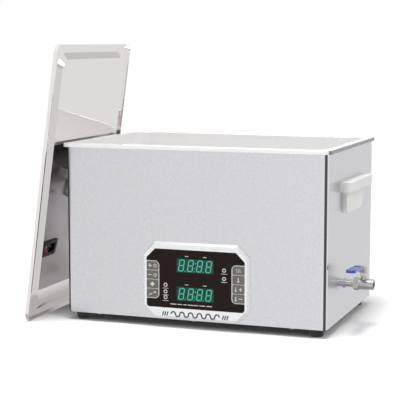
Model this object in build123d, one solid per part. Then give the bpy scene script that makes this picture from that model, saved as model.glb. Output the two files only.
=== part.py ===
from build123d import *
import math
import os

# Bench-top ultrasonic cleaner with its lid leaning on the left side. Millimetres.
# X runs to the right, Y to the back and Z up. The origin is on the floor under the casing's centre.

# Casing
CASE_W = 522
CASE_D = 360
CASE_X = CASE_W / 2
CASE_Y = CASE_D / 2
FOOT_H = 16
SHEET = 1.0
BEND_R = 9
BOTTOM_FLANGE = 14
CASE_TOP = 344.3
FLANGE = 8

# Tank
RIM_TOP = 347
RIM_OVERHANG = 6
RIM_LIP = 7
TANK_WALL = 1.2
TANK_L = 500
TANK_B = 326
TANK_DEPTH = 200
TANK_R = 30
TANK_FLOOR = RIM_TOP - TANK_DEPTH

# Control panel on the front
PANEL_X = 7.5
PANEL_W = 214
PANEL_Z0 = 18
PANEL_Z1 = 165.5
PANEL_OUT = 6
PANEL_CHAMFER = 23
PANEL_BEVEL = 4.5
STUD_R = 1.9
WINDOW_W = 197
WINDOW_Z0 = 39
WINDOW_Z1 = 152
WINDOW_R = 6
WINDOW_CUT = 17.5
WINDOW_FRONT = -CASE_Y - 5.6
WINDOW_BACK = -CASE_Y - 3.6
STRIP_W = 26
STRIP_H = 73
STRIP_Z = 92
STRIP_R = 9
STRIP_BORDER = 1.8
KEY_PITCH = 17.8
KEY_W = 23.2
KEY_SHIFT = 0.7
KEY_H = 15.8
KEY_GAP = 0.3
KEY_FRONT = -CASE_Y - 6.6
KEY_BACK = -CASE_Y - 4.3
DISPLAY_W = 74
DISPLAY_H = 26.5
DISPLAY_UPPER_Z = 122
DISPLAY_LOWER_Z = 67.5
BOARD_Y = -CASE_Y + 4
BOARD_T = 1.6
LED_R = 2.4
LED_SPOTS = [(-59.8, 83), (-59.8, 70), (-59.8, 59), (57.8, 117.3), (57.8, 101.3)]
BOARD_HALF_W = 96
BOARD_HALF_H = 60

# Carrying handles
HANDLE_Y = 5
GRIP_HALF = 93
GRIP_OUT = 22
GRIP_Z0 = 262
GRIP_Z1 = 281
GRIP_WALL = 4.5
GRIP_R = 12
PLATE_HALF = 68
PLATE_T = 8
PLATE_Z0 = 218
PLATE_R = 13
HANDLE_SCREWS = [(-47, 230), (57, 230), (-47, 251), (57, 251)]

# Drain and valve on the right side
DRAIN_X = 205
VALVE_Y = -40
VALVE_Z = 81
PIPE_OD = 14
PIPE_ID = 10.5
PIPE_BEND = 24
STRAINER_R = 9
HEX_X0 = 280
BARREL_X0 = 289
BARREL_X1 = 306
OUTLET_X = 318
BALL_X = 298
BALL_R = 6.2
STEM_R = 2.95
LEVER_Z = 106
LEVER_T = 2
LEVER_CRANK = 15
LEVER_BEND = 29
LEVER_TIP = 112
LEVER_RISE = 13
LEVER_LIFT = 4
SLEEVE_START = 38
SLEEVE_W = 18
SLEEVE_SKIN = 1.7
COLLAR_R = 9.5

# Mains inlet and power switch on the left side
INLET_Y = -82
INLET_Z = 110
INLET_W = 62
INLET_H = 34
INLET_BODY_W = 28
INLET_BODY_H = 14
ROCKER_Y = INLET_Y - 18
SOCKET_Y = INLET_Y + 10
ROCKER_TILT = 8

# Cooling fan on the back
FAN_X = 0
FAN_Z = 95
FAN_SIZE = 80
FAN_BORE_R = 38
FAN_DEPTH = 25
FAN_PITCH = 71.5
REAR_IN = CASE_Y - 2

# Generator board on the bottom cover
GENERATOR_X0 = -205
GENERATOR_X1 = -35
GENERATOR_HALF = 55
GENERATOR_TOP = 31.6

# Transducers under the tank
SOUNDER_XS = [-180, -90, 0, 90, 180]
SOUNDER_YS = [-75, 75]

# Lid, leaning against the left handle
LID_L = 541
LID_B = 352
LID_T = 1.0
LID_R = 16
LID_LIP = 6
LID_DISH = 8
LID_MARGIN = 16
LID_SLOPE = 12
DISH_R = 38
LID_LEAN = 7.76
LID_CORNER_X = -329.5
LID_CORNER_Y = -231
LID_GRIP_HALF = 50
LID_GRIP_OUT = 30


def block(x0, x1, y0, y1, z0, z1):
    """A box given by its six faces."""
    centre = Pos((x0 + x1) / 2, (y0 + y1) / 2, (z0 + z1) / 2)
    return centre * Box(abs(x1 - x0), abs(y1 - y0), abs(z1 - z0))


def rod_x(x0, x1, y, z, r):
    """A round rod along X."""
    return Pos((x0 + x1) / 2, y, z) * Rot(0, 90, 0) * Cylinder(r, abs(x1 - x0))


def rod_y(y0, y1, x, z, r):
    """A round rod along Y."""
    return Pos(x, (y0 + y1) / 2, z) * Rot(90, 0, 0) * Cylinder(r, abs(y1 - y0))


def rod_z(z0, z1, x, y, r):
    """A round rod along Z."""
    return Pos(x, y, (z0 + z1) / 2) * Cylinder(r, abs(z1 - z0))


def hexagon(across_flats, height):
    """A hexagonal prism standing on XY."""
    return extrude(RegularPolygon(across_flats / 2, 6, major_radius=False), height)


def hex_x(x0, x1, y, z, across_flats):
    return Pos(x0, y, z) * Rot(0, 90, 0) * hexagon(across_flats, x1 - x0)


def hex_y(y0, y1, x, z, across_flats):
    return Pos(x, y0, z) * Rot(-90, 0, 0) * hexagon(across_flats, y1 - y0)


def hex_z(z0, z1, x, y, across_flats):
    return Pos(x, y, z0) * hexagon(across_flats, z1 - z0)


def pan_head(x, y, z, r, height):
    """A domed screw head below z."""
    head = rod_z(z - height, z, x, y, r)
    return fillet(head.edges().group_by(Axis.Z)[0], height * 0.45)


def rounded_block(w, d, r, z0, z1, x=0, y=0):
    """An upright block with rounded vertical edges."""
    return Pos(x, y, z0) * extrude(RectangleRounded(w, d, r), z1 - z0)


def save(name, *solids):
    """Writes one sub-part, as a solid or as a group of separate solids."""
    loose = []
    for item in solids:
        loose += list(item.solids())
    whole = loose[0] if len(loose) == 1 else Compound(children=loose)
    export_step(whole, f"parts/{name}.step")


# ---------------------------------------------------------------- casing


def wrap_block(inset, z0, z1):
    """The casing's plan, with the two front corners bent."""
    plan = block(-CASE_X + inset, CASE_X - inset, -CASE_Y + inset, CASE_Y - inset, z0, z1)
    front = plan.edges().filter_by(Axis.Z).group_by(Axis.Y)[0]
    return fillet(front, max(BEND_R - inset, 1))


def casing_wrap():
    """Front and sides in one bent sheet, with turned-in flanges at the top, bottom and back."""
    wrap = wrap_block(0, FOOT_H, CASE_TOP)
    wrap -= wrap_block(SHEET, FOOT_H + 2 * SHEET, CASE_TOP - SHEET)
    wrap -= wrap_block(SHEET, FOOT_H, FOOT_H + SHEET)
    wrap -= wrap_block(BOTTOM_FLANGE, FOOT_H, FOOT_H + 3 * SHEET)
    wrap -= block(-CASE_X + FLANGE, CASE_X - FLANGE, -CASE_Y + FLANGE + 1, CASE_Y - FLANGE - 1,
                  CASE_TOP - 2 * SHEET, CASE_TOP + 1)
    wrap -= block(-CASE_X + 12, CASE_X - 12, CASE_Y - 2 * SHEET, CASE_Y + 1, FOOT_H + 12, CASE_TOP - 12)
    wrap -= block(PANEL_X - 93, PANEL_X + 93, -CASE_Y - 1, -CASE_Y + 2, 44, 147)
    for x, z in panel_studs():
        wrap -= rod_y(-CASE_Y - 1, -CASE_Y + 2, x, z, 2.2)
    for x, y in cover_screw_spots():
        wrap -= rod_z(FOOT_H, FOOT_H + 3, x, y, 2.1)
    wrap -= rod_x(CASE_X - 2, CASE_X + 1, VALVE_Y, VALVE_Z, PIPE_OD / 2 + 0.3)
    for side in (-1, 1):
        for y, z in HANDLE_SCREWS:
            wrap -= rod_x(side * CASE_X - 2, side * CASE_X + 2, y, z, 2.1)
    wrap -= block(-CASE_X - 1, -CASE_X + 2, INLET_Y - INLET_BODY_W - 0.2, INLET_Y + INLET_BODY_W + 0.2,
                  INLET_Z - INLET_BODY_H - 0.2, INLET_Z + INLET_BODY_H + 0.2)
    return wrap


def slot_rows(x, z, half, rows, pitch):
    """Cutters for a column of ventilation slots through the back."""
    slots = []
    for row in range(rows):
        slot = Rot(90, 0, 0) * extrude(SlotOverall(2 * half, 4), 12, both=True)
        slots.append(Pos(x, CASE_Y, z + row * pitch) * slot)
    return slots


def rear_panel():
    panel = block(-CASE_X + SHEET, CASE_X - SHEET, REAR_IN, REAR_IN + SHEET, FOOT_H + 2, CASE_TOP - SHEET)
    panel -= rod_y(REAR_IN - 1, REAR_IN + 2, FAN_X, FAN_Z, FAN_BORE_R)
    for x, z in fan_corners():
        panel -= rod_y(REAR_IN - 1, REAR_IN + 2, x, z, 2.0)
    for x in (-165, 165):
        for slot in slot_rows(x, 60, 35, 9, 10):
            panel -= slot
    return panel


def bottom_cover():
    cover = wrap_block(SHEET, FOOT_H, FOOT_H + SHEET)
    for x in (-120, 0, 120):
        for row in range(7):
            slot = extrude(SlotOverall(80, 4), 4, both=True)
            cover -= Pos(x, 70 + row * 9, FOOT_H) * slot
    for x, y in cover_screw_spots() + foot_spots():
        cover -= rod_z(FOOT_H - 1, FOOT_H + 2, x, y, 2.1)
    return cover


def cover_screw_spots():
    """The bottom cover's screws, along the front and the back edges."""
    return [(x, side * (CASE_Y - 7)) for x in (-195, 0, 195) for side in (-1, 1)]


def foot_spots():
    inset = 24
    return [(sx * (CASE_X - inset), sy * (CASE_Y - inset)) for sx in (-1, 1) for sy in (-1, 1)]


def bottom_screws():
    """Pan-head screws: six hold the bottom cover and four hold the feet."""
    screws = []
    for x, y in cover_screw_spots():
        screws.append(pan_head(x, y, FOOT_H, 4, 2.4) + rod_z(FOOT_H, FOOT_H + 2, x, y, 2.0))
    for x, y in foot_spots():
        head = rod_z(4, 7, x, y, 4)
        screws.append(head + rod_z(7, FOOT_H + 6, x, y, 2.0))
    return screws


def feet():
    """Four tapered rubber feet, each with a recess for its screw."""
    solids = []
    for x, y in foot_spots():
        foot = Pos(x, y, 0) * loft([Circle(12.2), Pos(0, 0, FOOT_H) * Circle(15)])
        foot = fillet(foot.edges().group_by(Axis.Z)[0], 1.2)
        foot -= rod_z(-1, 7, x, y, 4.4)
        foot -= rod_z(0, FOOT_H + 1, x, y, 2.1)
        solids.append(foot)
    return solids


# ---------------------------------------------------------------- tank


def tank():
    """Drawn tank with a flat flange and a turned-down lip."""
    half_w = CASE_X + RIM_OVERHANG
    half_d = CASE_Y + RIM_OVERHANG
    lip = rounded_block(2 * half_w, 2 * half_d, 10, RIM_TOP - RIM_LIP, RIM_TOP)
    lip = fillet(lip.edges().group_by(Axis.Z)[-1], 1.0)
    lip -= rounded_block(2 * (half_w - TANK_WALL), 2 * (half_d - TANK_WALL), 10 - TANK_WALL,
                         RIM_TOP - RIM_LIP - 1, RIM_TOP - TANK_WALL)
    bowl = rounded_block(TANK_L + 2 * TANK_WALL, TANK_B + 2 * TANK_WALL, TANK_R + TANK_WALL,
                         TANK_FLOOR - TANK_WALL, RIM_TOP - TANK_WALL)
    bowl = fillet(bowl.edges().group_by(Axis.Z)[0], 8 + TANK_WALL)
    hollow = rounded_block(TANK_L, TANK_B, TANK_R, TANK_FLOOR, RIM_TOP + 1)
    hollow = fillet(hollow.edges().group_by(Axis.Z)[0], 8)
    shell = lip + bowl - hollow
    mouth = shell.edges().group_by(Axis.Z)[-1].filter_by(lambda e: abs(e.center().X) < CASE_X - 3)
    inner = [e for e in mouth if e.bounding_box().max.X < CASE_X and e.bounding_box().min.X > -CASE_X]
    inner = [e for e in inner if abs(e.center().Y) < CASE_Y - 8]
    shell = fillet(inner, 1.0)
    return shell - rod_z(TANK_FLOOR - 3, TANK_FLOOR + 1, DRAIN_X, VALVE_Y, 9.2)


def rim_seal():
    """Flat gasket between the casing's top flange and the tank's rim."""
    ring = rounded_block(CASE_W - 4, CASE_D - 4, 8, CASE_TOP, RIM_TOP - TANK_WALL)
    return ring - rounded_block(CASE_W - 2 * FLANGE, CASE_D - 2 * FLANGE - 2, 4, CASE_TOP - 1, RIM_TOP)


def heater_pads():
    """Silicone heater mats on the tank's long walls."""
    pads = []
    for side in (-1, 1):
        y0 = side * (TANK_B / 2 + TANK_WALL)
        y1 = side * (TANK_B / 2 + TANK_WALL + 2)
        pads.append(block(-150, 150, min(y0, y1), max(y0, y1), TANK_FLOOR + 25, TANK_FLOOR + 105))
    return pads


def sounder_spots():
    return [(x, y) for x in SOUNDER_XS for y in SOUNDER_YS]


def transducer_horns():
    """Tapered aluminium horns, bonded under the tank's floor."""
    top = TANK_FLOOR - TANK_WALL
    horns = []
    for x, y in sounder_spots():
        cone = loft([Pos(x, y, top - 28) * Circle(19), Pos(x, y, top - 6) * Circle(22.5)])
        cone += rod_z(top - 6, top, x, y, 22.5)
        horns.append(cone - rod_z(top - 30, top - 12, x, y, 5))
    return horns


def piezo_rings():
    top = TANK_FLOOR - TANK_WALL - 28
    rings = []
    for x, y in sounder_spots():
        for step in range(2):
            z = top - 5 * (step + 1)
            rings.append(rod_z(z, z + 4.8, x, y, 19) - rod_z(z - 1, z + 6, x, y, 7.5))
    return rings


def transducer_back_masses():
    top = TANK_FLOOR - TANK_WALL - 38
    masses = []
    for x, y in sounder_spots():
        masses.append(rod_z(top - 18, top, x, y, 19) - rod_z(top - 20, top + 1, x, y, 5.2))
    return masses


def transducer_bolts():
    top = TANK_FLOOR - TANK_WALL - 56
    return [hex_z(top - 7, top, x, y, 17) + rod_z(top, top + 43, x, y, 5) for x, y in sounder_spots()]


# ---------------------------------------------------------------- control panel


def panel_studs():
    """The four studs that hold the bezel to the front sheet."""
    middle = (PANEL_Z0 + PANEL_Z1) / 2
    return [(PANEL_X + sx * 103, middle + sz * 42) for sx in (-1, 1) for sz in (-1, 1)]


def panel_plan(w, z0, z1, cut, x=PANEL_X):
    """An upright sheet outline with four cut corners, facing the front."""
    half = w / 2
    middle = (z0 + z1) / 2
    rise = (z1 - z0) / 2
    points = [(-half + cut, -rise), (half - cut, -rise), (half, -rise + cut), (half, rise - cut),
              (half - cut, rise), (-half + cut, rise), (-half, rise - cut), (-half, -rise + cut)]
    outline = Polyline(*points, close=True)
    return Plane(origin=(x, 0, middle), x_dir=(1, 0, 0), z_dir=(0, -1, 0)) * make_face(outline)


def window_plan(grow=0):
    """The black panel's outline: cut corners above and rounded corners below."""
    half = WINDOW_W / 2 + grow
    low = WINDOW_Z0 - grow
    high = WINDOW_Z1 + grow
    r = WINDOW_R
    cut = WINDOW_CUT
    edges = [Line((-half + r, low), (half - r, low)),
             Line((half, low + r), (half, high - cut)),
             Line((half, high - cut), (half - cut, high)),
             Line((half - cut, high), (-half + cut, high)),
             Line((-half + cut, high), (-half, high - cut)),
             Line((-half, high - cut), (-half, low + r)),
             RadiusArc((half - r, low), (half, low + r), -r),
             RadiusArc((-half, low + r), (-half + r, low), -r)]
    face = make_face(Curve() + edges)
    return Plane(origin=(PANEL_X, 0, 0), x_dir=(1, 0, 0), z_dir=(0, -1, 0)) * face


def front_slab(plan, y_front, y_back):
    """Extrudes a plan drawn on the XZ plane between two depths."""
    return Pos(0, y_back, 0) * extrude(plan, y_back - y_front)


def control_bezel():
    """White frame with cut corners, a bevelled face and four moulded studs."""
    slab = front_slab(panel_plan(PANEL_W, PANEL_Z0, PANEL_Z1, PANEL_CHAMFER), -CASE_Y - PANEL_OUT, -CASE_Y)
    slab = chamfer(slab.edges().group_by(Axis.Y)[0], PANEL_BEVEL)
    slab -= front_slab(window_plan(), WINDOW_FRONT - 3, WINDOW_BACK)
    slab -= front_slab(window_plan(-4), -CASE_Y - 8, -CASE_Y + 1)
    for x, z in panel_studs():
        slab += rod_y(-CASE_Y, -CASE_Y + 7, x, z, STUD_R)
    return slab


def bezel_nuts():
    nuts = []
    for x, z in panel_studs():
        nut = hex_y(-CASE_Y + SHEET, -CASE_Y + SHEET + 3.2, x, z, 7)
        nuts.append(nut - rod_y(-CASE_Y, -CASE_Y + 6, x, z, STUD_R))
    return nuts


def strip_x(side):
    """The centre line of a keypad strip: -1 is the left one, 1 the right one."""
    return PANEL_X + side * (WINDOW_W - STRIP_W) / 2


def strip_block(side, y_front, y_back, trim=0):
    """A keypad strip: square on the outside, rounded towards the panel's middle, where trim narrows it."""
    outer = strip_x(side) + side * STRIP_W / 2
    inner = outer - side * (STRIP_W - trim)
    strip = block(outer, inner, y_front, y_back, STRIP_Z - STRIP_H / 2 + trim, STRIP_Z + STRIP_H / 2 - trim)
    edges = strip.edges().filter_by(Axis.Y).sort_by(Axis.X)
    edges = edges[2:] if side < 0 else edges[:2]
    return fillet(edges, STRIP_R - trim)


def key_spots():
    """Side and centre of each key: four on the left from the top, then four on the right."""
    spots = []
    for side in (-1, 1):
        for row in range(4):
            spots.append((side, strip_x(side) + side * KEY_SHIFT, STRIP_Z + KEY_PITCH * (1.5 - row)))
    return spots


def display_window():
    """Smoked panel with openings for the displays, the lamps and the keypads."""
    panel = front_slab(window_plan(), WINDOW_FRONT, WINDOW_BACK)
    for side in (-1, 1):
        panel -= strip_block(side, WINDOW_FRONT - 1, WINDOW_BACK + 1)
    for z in (DISPLAY_UPPER_Z, DISPLAY_LOWER_Z):
        panel -= block(PANEL_X - DISPLAY_W / 2, PANEL_X + DISPLAY_W / 2, WINDOW_FRONT - 1, WINDOW_BACK + 1,
                       z - DISPLAY_H / 2, z + DISPLAY_H / 2)
    for x, z in LED_SPOTS:
        panel -= rod_y(WINDOW_FRONT - 1, WINDOW_BACK + 1, x + PANEL_X, z, LED_R)
    return panel


def key_slab(side, x, z, grow, y_front, y_back):
    """A key's shape: the keys at the ends of a strip follow its rounded corners."""
    plan = RectangleRounded(KEY_W + 2 * grow, KEY_H + 2 * grow, 1.5 + grow)
    plan = Plane(origin=(x, 0, z), x_dir=(1, 0, 0), z_dir=(0, -1, 0)) * plan
    return front_slab(plan, y_front, y_back) & strip_block(side, y_front, y_back, STRIP_BORDER - grow)


def keypad(side):
    strip = strip_block(side, WINDOW_FRONT - 0.3, WINDOW_BACK)
    for key_side, x, z in key_spots():
        if key_side == side:
            strip -= key_slab(side, x, z, KEY_GAP, WINDOW_FRONT - 2, WINDOW_BACK + 1)
    return strip


def key(side, x, z):
    cap = key_slab(side, x, z, 0, KEY_FRONT, KEY_BACK)
    return fillet(cap.edges().group_by(Axis.Y)[0], 0.4)


def display(z):
    """LED module whose lens fills an opening of the smoked panel."""
    return block(PANEL_X - DISPLAY_W / 2, PANEL_X + DISPLAY_W / 2, WINDOW_FRONT - 0.1, BOARD_Y,
                 z - DISPLAY_H / 2, z + DISPLAY_H / 2)


def indicator_leds():
    return [rod_y(WINDOW_FRONT - 0.3, BOARD_Y, x + PANEL_X, z, LED_R) for x, z in LED_SPOTS]


def board_corners():
    middle = (WINDOW_Z0 + WINDOW_Z1) / 2
    across = BOARD_HALF_W - 5
    rise = BOARD_HALF_H - 4
    return [(PANEL_X + sx * across, middle + sz * rise) for sx in (-1, 1) for sz in (-1, 1)]


def control_board():
    middle = (WINDOW_Z0 + WINDOW_Z1) / 2
    board = block(PANEL_X - BOARD_HALF_W, PANEL_X + BOARD_HALF_W, BOARD_Y, BOARD_Y + BOARD_T,
                  middle - BOARD_HALF_H, middle + BOARD_HALF_H)
    chip_w, chip_h, chip_t = 32, 14, 3.4
    board += block(PANEL_X - chip_w, PANEL_X, BOARD_Y + BOARD_T, BOARD_Y + BOARD_T + chip_t,
                   middle - chip_h, middle)
    plug_w, plug_h, plug_t = 24, 8, 5.4
    board += block(PANEL_X + 30, PANEL_X + 30 + plug_w, BOARD_Y + BOARD_T, BOARD_Y + BOARD_T + plug_t,
                   middle - 30, middle - 30 + plug_h)
    for x, z in board_corners():
        board -= rod_y(BOARD_Y - 1, BOARD_Y + 3, x, z, 1.6)
    return board


def board_standoffs():
    posts = []
    for x, z in board_corners():
        post = rod_y(-CASE_Y + SHEET, BOARD_Y, x, z, 3.5) + rod_y(BOARD_Y, BOARD_Y + BOARD_T, x, z, 1.6)
        posts.append(post + rod_y(BOARD_Y + BOARD_T, BOARD_Y + BOARD_T + 2, x, z, 3))
    return posts


def key_switches():
    """Push switches on the board, each with its plunger just behind a key."""
    switches = []
    for _, x, z in key_spots():
        case = block(x - 5, x + 5, -CASE_Y + 0.4, BOARD_Y, z - 5, z + 5)
        switches.append(case + rod_y(KEY_BACK + 0.6, -CASE_Y + 0.4, x, z, 2))
    return switches


# ---------------------------------------------------------------- handles


def handle(side):
    """Carrying handle: a ledge with a finger gap under it, over a screwed plate."""
    ledge = block(CASE_X, CASE_X + GRIP_OUT, -GRIP_HALF, GRIP_HALF, GRIP_Z0, GRIP_Z1)
    ledge = fillet(ledge.edges().filter_by(Axis.Z).group_by(Axis.X)[-1], GRIP_R)
    rim = ledge.faces().sort_by(Axis.Z)[-1].edges().filter_by(lambda e: e.center().X > CASE_X + 1)
    ledge = fillet(rim, 2)
    ledge -= block(CASE_X + PLATE_T, CASE_X + GRIP_OUT - GRIP_WALL, -GRIP_HALF + 10, GRIP_HALF - 10,
                   GRIP_Z0 - 1, GRIP_Z1 - GRIP_WALL - 0.5)
    ledge -= block(CASE_X + 3, CASE_X + 14, -GRIP_HALF + 14, GRIP_HALF - 14, GRIP_Z1 - 1.5, GRIP_Z1 + 1)
    plate = block(CASE_X, CASE_X + PLATE_T, -PLATE_HALF, PLATE_HALF, PLATE_Z0, GRIP_Z0 + 4)
    plate = fillet(plate.edges().filter_by(Axis.X).group_by(Axis.Z)[0], PLATE_R)
    face = plate.faces().sort_by(Axis.X)[-1].edges().filter_by(lambda e: e.center().Z < GRIP_Z0)
    plate = fillet(face, 1.5)
    body = Pos(0, HANDLE_Y, 0) * (ledge + plate)
    for y, z in HANDLE_SCREWS:
        body -= rod_x(CASE_X - 1, CASE_X + 5, y, z, 2.0)
    return body if side > 0 else body.mirror(Plane.YZ)


def handle_screws():
    """Screws driven from inside the casing, four for each handle."""
    screws = []
    for y, z in HANDLE_SCREWS:
        screw = rod_x(CASE_X - SHEET - 2.5, CASE_X - SHEET, y, z, 4)
        screw += rod_x(CASE_X - 2, CASE_X + 5, y, z, 2.0)
        screws += [screw, screw.mirror(Plane.YZ)]
    return screws


# ---------------------------------------------------------------- drain and valve


def drain_strainer():
    """Flanged outlet in the tank's floor, with a ring of holes."""
    z = TANK_FLOOR
    cup = rod_z(z, z + 1.5, DRAIN_X, VALVE_Y, 16) + rod_z(z - 17, z, DRAIN_X, VALVE_Y, STRAINER_R)
    cup = cup - rod_z(z - 18, z - 0.5, DRAIN_X, VALVE_Y, PIPE_OD / 2)
    holes = 6
    hole_ring = 4.6
    for step in range(holes):
        angle = 2 * math.pi * step / holes
        x = DRAIN_X + hole_ring * math.cos(angle)
        cup -= rod_z(z - 2, z + 3, x, VALVE_Y + hole_ring * math.sin(angle), 1.5)
    return cup


def drain_pipe():
    """Bent pipe from the tank's outlet to the nipple."""
    path = FilletPolyline((DRAIN_X, VALVE_Y, TANK_FLOOR - 4), (DRAIN_X, VALVE_Y, VALVE_Z),
                          (DRAIN_X + 35, VALVE_Y, VALVE_Z), radius=PIPE_BEND)
    start = Plane(origin=(DRAIN_X, VALVE_Y, TANK_FLOOR - 4), z_dir=(0, 0, -1))
    return sweep(start * Circle(PIPE_OD / 2), path) - sweep(start * Circle(PIPE_ID / 2), path)


def drain_nipple():
    """Pipe through the side of the casing, with the collar that seals it."""
    tube = rod_x(DRAIN_X + 35, HEX_X0 + 4, VALVE_Y, VALVE_Z, PIPE_OD / 2)
    tube += rod_x(CASE_X, CASE_X + 2, VALVE_Y, VALVE_Z, COLLAR_R)
    return tube - rod_x(DRAIN_X + 30, HEX_X0 + 6, VALVE_Y, VALVE_Z, PIPE_ID / 2)


def drain_nuts():
    """Nuts that clamp the strainer to the tank and the nipple to the casing."""
    under = TANK_FLOOR - TANK_WALL
    upper = hex_z(under - 6, under, DRAIN_X, VALVE_Y, 26)
    upper -= rod_z(under - 7, under + 1, DRAIN_X, VALVE_Y, STRAINER_R)
    side = hex_x(CASE_X - SHEET - 6, CASE_X - SHEET, VALVE_Y, VALVE_Z, 22)
    return [upper, side - rod_x(CASE_X - 10, CASE_X, VALVE_Y, VALVE_Z, PIPE_OD / 2)]


def valve_body():
    """Ball valve body: hexagon, barrel and the boss that the stem passes through."""
    body = hex_x(HEX_X0, BARREL_X0, VALVE_Y, VALVE_Z, 22)
    body += rod_x(BARREL_X0, BARREL_X1, VALVE_Y, VALVE_Z, 10.5)
    body += rod_z(VALVE_Z + 5, 98, BALL_X, VALVE_Y, 5.5)
    body -= rod_x(HEX_X0 - 1, HEX_X0 + 4, VALVE_Y, VALVE_Z, PIPE_OD / 2)
    body -= rod_x(HEX_X0, BARREL_X1, VALVE_Y, VALVE_Z, 4)
    body -= rod_x(BALL_X - 8, BARREL_X1 + 1, VALVE_Y, VALVE_Z, 7.75)
    return body - rod_z(VALVE_Z, 100, BALL_X, VALVE_Y, STEM_R + 0.08)


def valve_end_cap():
    """Outlet end with a tapped bore."""
    cap = rod_x(BARREL_X1, OUTLET_X, VALVE_Y, VALVE_Z, 10.2)
    cap = chamfer(cap.edges().group_by(Axis.X)[-1], 0.8)
    groove = rod_x(BARREL_X1 + 4, BARREL_X1 + 5.2, VALVE_Y, VALVE_Z, 12)
    cap -= groove - rod_x(BARREL_X1, OUTLET_X, VALVE_Y, VALVE_Z, 9.4)
    cap -= rod_x(BARREL_X1 - 1, OUTLET_X, VALVE_Y, VALVE_Z, 4)
    return cap - rod_x(BARREL_X1 + 1.5, OUTLET_X + 1, VALVE_Y, VALVE_Z, 14.95 / 2)


def valve_seats():
    """A sealing ring on each side of the ball."""
    rings = []
    for x0, x1 in ((BALL_X - 8, BALL_X - 4.9), (BALL_X + 4.9, BALL_X + 8)):
        ring = rod_x(x0, x1, VALVE_Y, VALVE_Z, 7.75)
        rings.append(ring - rod_x(x0 - 1, x1 + 1, VALVE_Y, VALVE_Z, 4))
    return rings


def valve_ball():
    """Ball with its bore across the pipe, as it stands when the valve is shut."""
    ball = Pos(BALL_X, VALVE_Y, VALVE_Z) * Sphere(BALL_R)
    ball -= rod_y(VALVE_Y - 10, VALVE_Y + 10, BALL_X, VALVE_Z, 3.6)
    return ball - rod_z(VALVE_Z + 4.4, VALVE_Z + 9, BALL_X, VALVE_Y, STEM_R)


def valve_stem():
    return rod_z(VALVE_Z + 4.4, 114.5, BALL_X, VALVE_Y, STEM_R)


def packing_nut():
    return hex_z(98, 104, BALL_X, VALVE_Y, 13) - rod_z(97, 105, BALL_X, VALVE_Y, STEM_R + 0.08)


def lever_nut():
    return hex_z(LEVER_Z + 2, 113.5, BALL_X, VALVE_Y, 10) - rod_z(LEVER_Z, 115, BALL_X, VALVE_Y, STEM_R)


def lever_line():
    """The lever's underside in side view: flat at the stem, a crank, then a gentle rise."""
    return [(VALVE_Y + 8, LEVER_Z), (VALVE_Y - LEVER_CRANK, LEVER_Z),
            (VALVE_Y - LEVER_BEND, LEVER_Z + LEVER_RISE),
            (VALVE_Y - LEVER_TIP, LEVER_Z + LEVER_RISE + LEVER_LIFT)]


def valve_lever():
    """Pressed steel lever that runs forward from the stem."""
    low = lever_line()
    high = [(y, z + LEVER_T) for y, z in reversed(low)]
    side = Plane(origin=(BALL_X, 0, 0), x_dir=(0, 1, 0), z_dir=(1, 0, 0))
    strip = extrude(side * make_face(Polyline(*low, *high, close=True)), 6, both=True)
    ends = strip.edges().filter_by(Axis.Z).group_by(Axis.Y)
    strip = fillet(list(ends[-1]), 5)
    return strip - rod_z(LEVER_Z - 1, LEVER_Z + 4, BALL_X, VALVE_Y, STEM_R)


def sleeve_slab(reach_back, reach_front, half, low, high):
    """A bar along the lever's outer part, between two distances from the stem and two heights over it."""
    slope = LEVER_LIFT / (LEVER_TIP - LEVER_BEND)
    corners = [(reach_back, low), (reach_front, low), (reach_front, high), (reach_back, high)]
    points = []
    for reach, rise in corners:
        points.append((VALVE_Y - reach, LEVER_Z + LEVER_RISE + slope * (reach - LEVER_BEND) + rise))
    side = Plane(origin=(BALL_X, 0, 0), x_dir=(0, 1, 0), z_dir=(1, 0, 0))
    bar = extrude(side * make_face(Polyline(*points, close=True)), half, both=True)
    ends = bar.edges().filter_by(Axis.Z).group_by(Axis.Y)
    bar = fillet(list(ends[0]), half * 0.8)
    return fillet(list(bar.edges().filter_by(Axis.Z).group_by(Axis.Y)[-1]), 3)


def lever_grip():
    """Dipped sleeve over the lever's outer part, with a dished top."""
    top = LEVER_T + SLEEVE_SKIN
    sleeve = sleeve_slab(SLEEVE_START, LEVER_TIP + 3, SLEEVE_W / 2, -SLEEVE_SKIN, top)
    sleeve = fillet(sleeve.faces().sort_by(Axis.Z)[-1].edges(), 1.2)
    sleeve -= sleeve_slab(SLEEVE_START + 5, LEVER_TIP - 1, SLEEVE_W / 2 - 3.5, top - 0.7, top + 2)
    return sleeve - valve_lever()


# ---------------------------------------------------------------- mains inlet and switch


def iec_inlet():
    """Panel module: a flange outside, an inlet socket and a pocket for the rocker."""
    face = block(-CASE_X - 2.5, -CASE_X, INLET_Y - INLET_W / 2, INLET_Y + INLET_W / 2,
                 INLET_Z - INLET_H / 2, INLET_Z + INLET_H / 2)
    face = fillet(face.edges().filter_by(Axis.X), 3)
    body = face + block(-CASE_X, -CASE_X + 26, INLET_Y - INLET_BODY_W, INLET_Y + INLET_BODY_W,
                        INLET_Z - INLET_BODY_H, INLET_Z + INLET_BODY_H)
    socket = block(-CASE_X - 4, -CASE_X + 16, SOCKET_Y - 13, SOCKET_Y + 13, INLET_Z - 9.5, INLET_Z + 9.5)
    socket = chamfer(socket.edges().filter_by(Axis.X).group_by(Axis.Z)[-1], 4)
    body -= socket
    return body - block(-CASE_X - 4, -CASE_X + 10, ROCKER_Y - 6.3, ROCKER_Y + 6.3, INLET_Z - 10.4,
                        INLET_Z + 10.4)


def inlet_pins():
    """Three blades in the socket."""
    pins = []
    for y, z in ((-7, -1.5), (0, 2.5), (7, -1.5)):
        pins.append(block(-CASE_X + 2, -CASE_X + 16, SOCKET_Y + y - 1, SOCKET_Y + y + 1,
                          INLET_Z + z - 2, INLET_Z + z + 2))
    return pins


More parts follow.
